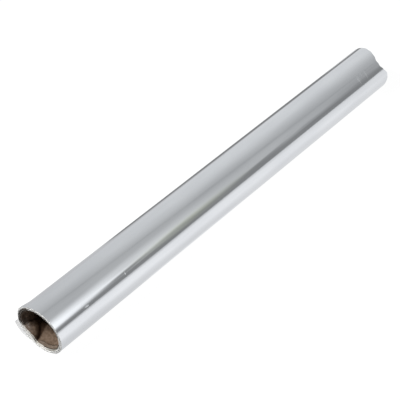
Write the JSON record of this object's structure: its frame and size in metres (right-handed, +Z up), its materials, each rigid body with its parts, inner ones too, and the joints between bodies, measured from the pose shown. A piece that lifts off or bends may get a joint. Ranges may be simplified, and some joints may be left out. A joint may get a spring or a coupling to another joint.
{
  "type": "roll of cellophane",
  "caption": "Roll of clear glossy wrapping film on a spirally wound card tube, lying on a small flat spot, with the tube's mouth dented at one end.",
  "frame": {"origin": "bottom centre of the bounding box: under the middle of the roll, on the surface it lies on", "axes": "+X along the roll from the dented open end to the other end, +Z up, the film's free edge on the +Y side"},
  "size_m": [0.5056, 0.0498, 0.0495],
  "materials": {
    "clear_film": "many tight turns of clear film, silvery grey and glossy",
    "brown_card": "matt kraft card"
  },
  "bodies": {
    "root": {"film_roll": "clear_film", "cardboard_core": "brown_card"}
  },
  "joints": []
}
